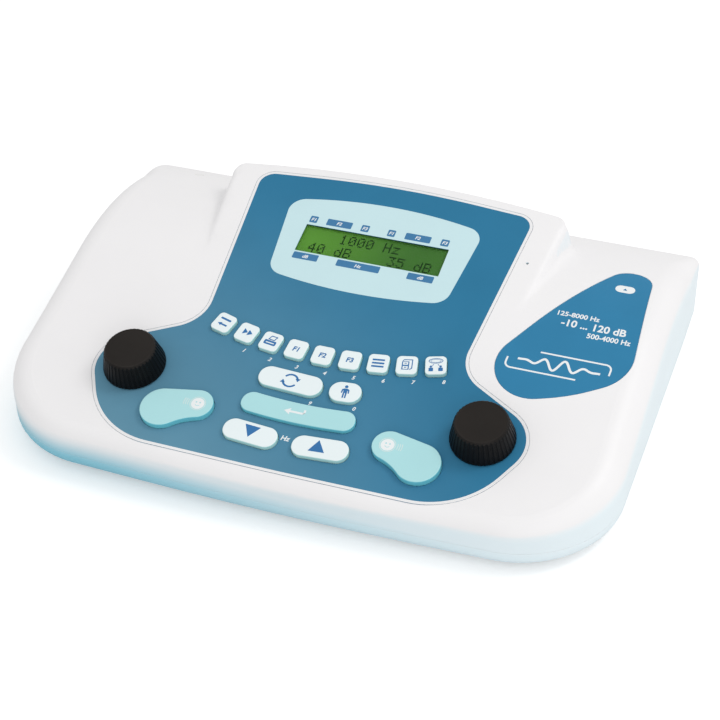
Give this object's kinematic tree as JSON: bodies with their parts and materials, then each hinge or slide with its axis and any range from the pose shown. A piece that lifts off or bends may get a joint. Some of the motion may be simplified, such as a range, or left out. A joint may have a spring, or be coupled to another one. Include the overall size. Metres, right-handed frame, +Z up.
{
  "type": "desk audiometer",
  "caption": "Desktop audiometer: low wedge housing with a raised display pod, sloping key panel, fluted dials, waisted tone keys, side label and rear sockets.",
  "frame": {"origin": "on the table under the middle of the housing's bounding box", "axes": "+Z up, +Y towards the back wall with the sockets, +X to the right of the user who faces the panel"},
  "size_m": [0.389, 0.2762, 0.0949],
  "materials": {
    "housing_plastic": "satin",
    "tray_plastic": "satin",
    "foot_rubber": "matte",
    "screw_steel": "satin",
    "overlay_print": "satin",
    "label_print": "satin",
    "clear_pane": "gloss",
    "lcd_metal": "satin",
    "lcd_cell": "gloss",
    "backlight_guide": "satin",
    "board_laminate": "satin",
    "white_key": "satin",
    "aqua_key": "satin",
    "black_plastic": "satin",
    "dial_plastic": "matte",
    "nut_nickel": "gloss",
    "plate_paint": "matte",
    "can_sleeve": "gloss",
    "core_iron": "matte",
    "cable_grey": "satin"
  },
  "bodies": {
    "housing": {"top_cover": "housing_plastic", "base_tray": "tray_plastic", "rubber_feet": "foot_rubber", "cover_screws": "screw_steel", "panel_overlay": "overlay_print", "wing_label": "label_print", "display_pane": "clear_pane", "lcd_frame": "lcd_metal", "lcd_glass": "lcd_cell", "lcd_backlight": "backlight_guide", "lcd_board": "board_laminate", "lcd_screws": "screw_steel", "key_board": "board_laminate", "key_board_screws": "screw_steel", "key_switches": "black_plastic", "dial_encoder_left": "screw_steel", "dial_encoder_right": "screw_steel", "encoder_nuts": "nut_nickel", "talkback_microphone": "black_plastic", "rear_plate": "plate_paint", "phone_jack_left": "black_plastic", "phone_jack_right": "black_plastic", "bone_jack": "black_plastic", "response_jack": "black_plastic", "microphone_jack": "black_plastic", "connector_nuts": "nut_nickel", "serial_port": "screw_steel", "power_inlet": "black_plastic", "power_switch_body": "black_plastic", "main_board": "board_laminate", "main_board_screws": "screw_steel", "board_chips": "black_plastic", "board_capacitors": "can_sleeve", "output_transformers": "core_iron", "battery_holder": "black_plastic", "clock_battery": "nut_nickel", "cable_headers": "black_plastic", "key_cable": "cable_grey", "display_cable": "cable_grey"},
    "key_back_cap": {"key_back": "white_key"},
    "key_fast_cap": {"key_fast": "white_key"},
    "key_print_cap": {"key_print": "white_key"},
    "key_f1_cap": {"key_f1": "white_key"},
    "key_f2_cap": {"key_f2": "white_key"},
    "key_f3_cap": {"key_f3": "white_key"},
    "key_menu_cap": {"key_menu": "white_key"},
    "key_file_cap": {"key_file": "white_key"},
    "key_patients_cap": {"key_patients": "white_key"},
    "key_cycle_cap": {"key_cycle": "white_key"},
    "key_person_cap": {"key_person": "white_key"},
    "key_down_cap": {"key_down": "white_key"},
    "key_up_cap": {"key_up": "white_key"},
    "key_enter_cap": {"key_enter": "aqua_key"},
    "tone_key_left_cap": {"tone_key_left": "aqua_key"},
    "tone_key_right_cap": {"tone_key_right": "aqua_key"},
    "dial_left": {"knob_left": "dial_plastic", "dial_shaft_left": "nut_nickel"},
    "dial_right": {"knob_right": "dial_plastic", "dial_shaft_right": "nut_nickel"},
    "power_rocker_body": {"power_rocker": "black_plastic"}
  },
  "joints": [
    {"name": "key_back_press", "type": "slide", "parent": "housing", "child": "key_back_cap", "axis": [0, 0.2504, -0.9681], "range_m": [0, 0.0012], "stiffness_N_per_m": 800, "springref_m": -0.0005},
    {"name": "key_fast_press", "type": "slide", "parent": "housing", "child": "key_fast_cap", "axis": [0, 0.2504, -0.9681], "range_m": [0, 0.0012], "stiffness_N_per_m": 800, "springref_m": -0.0005},
    {"name": "key_print_press", "type": "slide", "parent": "housing", "child": "key_print_cap", "axis": [0, 0.2504, -0.9681], "range_m": [0, 0.0012], "stiffness_N_per_m": 800, "springref_m": -0.0005},
    {"name": "key_f1_press", "type": "slide", "parent": "housing", "child": "key_f1_cap", "axis": [0, 0.2504, -0.9681], "range_m": [0, 0.0012], "stiffness_N_per_m": 800, "springref_m": -0.0005},
    {"name": "key_f2_press", "type": "slide", "parent": "housing", "child": "key_f2_cap", "axis": [0, 0.2504, -0.9681], "range_m": [0, 0.0012], "stiffness_N_per_m": 800, "springref_m": -0.0005},
    {"name": "key_f3_press", "type": "slide", "parent": "housing", "child": "key_f3_cap", "axis": [0, 0.2504, -0.9681], "range_m": [0, 0.0012], "stiffness_N_per_m": 800, "springref_m": -0.0005},
    {"name": "key_menu_press", "type": "slide", "parent": "housing", "child": "key_menu_cap", "axis": [0, 0.2504, -0.9681], "range_m": [0, 0.0012], "stiffness_N_per_m": 800, "springref_m": -0.0005},
    {"name": "key_file_press", "type": "slide", "parent": "housing", "child": "key_file_cap", "axis": [0, 0.2504, -0.9681], "range_m": [0, 0.0012], "stiffness_N_per_m": 800, "springref_m": -0.0005},
    {"name": "key_patients_press", "type": "slide", "parent": "housing", "child": "key_patients_cap", "axis": [0, 0.2504, -0.9681], "range_m": [0, 0.0012], "stiffness_N_per_m": 800, "springref_m": -0.0005},
    {"name": "key_cycle_press", "type": "slide", "parent": "housing", "child": "key_cycle_cap", "axis": [0, 0.2504, -0.9681], "range_m": [0, 0.0012], "stiffness_N_per_m": 800, "springref_m": -0.0005},
    {"name": "key_person_press", "type": "slide", "parent": "housing", "child": "key_person_cap", "axis": [0, 0.2504, -0.9681], "range_m": [0, 0.0012], "stiffness_N_per_m": 800, "springref_m": -0.0005},
    {"name": "key_down_press", "type": "slide", "parent": "housing", "child": "key_down_cap", "axis": [0, 0.2504, -0.9681], "range_m": [0, 0.0012], "stiffness_N_per_m": 800, "springref_m": -0.0005},
    {"name": "key_up_press", "type": "slide", "parent": "housing", "child": "key_up_cap", "axis": [0, 0.2504, -0.9681], "range_m": [0, 0.0012], "stiffness_N_per_m": 800, "springref_m": -0.0005},
    {"name": "key_enter_press", "type": "slide", "parent": "housing", "child": "key_enter_cap", "axis": [0, 0.2504, -0.9681], "range_m": [0, 0.0012], "stiffness_N_per_m": 800, "springref_m": -0.0005},
    {"name": "tone_key_left_press", "type": "slide", "parent": "housing", "child": "tone_key_left_cap", "axis": [0, 0.2504, -0.9681], "range_m": [0, 0.0012], "stiffness_N_per_m": 800, "springref_m": -0.0005},
    {"name": "tone_key_right_press", "type": "slide", "parent": "housing", "child": "tone_key_right_cap", "axis": [0, 0.2504, -0.9681], "range_m": [0, 0.0012], "stiffness_N_per_m": 800, "springref_m": -0.0005},
    {"name": "dial_left_turn", "type": "hinge", "parent": "housing", "child": "dial_left", "pos_m": [-0.1109, -0.07943, 0.04833], "axis": [0, -0.2504, 0.9681], "continuous": true},
    {"name": "dial_right_turn", "type": "hinge", "parent": "housing", "child": "dial_right", "pos_m": [0.1109, -0.07943, 0.04833], "axis": [0, -0.2504, 0.9681], "continuous": true},
    {"name": "power_rocker_tip", "type": "hinge", "parent": "housing", "child": "power_rocker_body", "pos_m": [0.09, 0.1306, 0.0245], "axis": [0, 0, 1], "range_deg": [0, 16]}
  ]
}
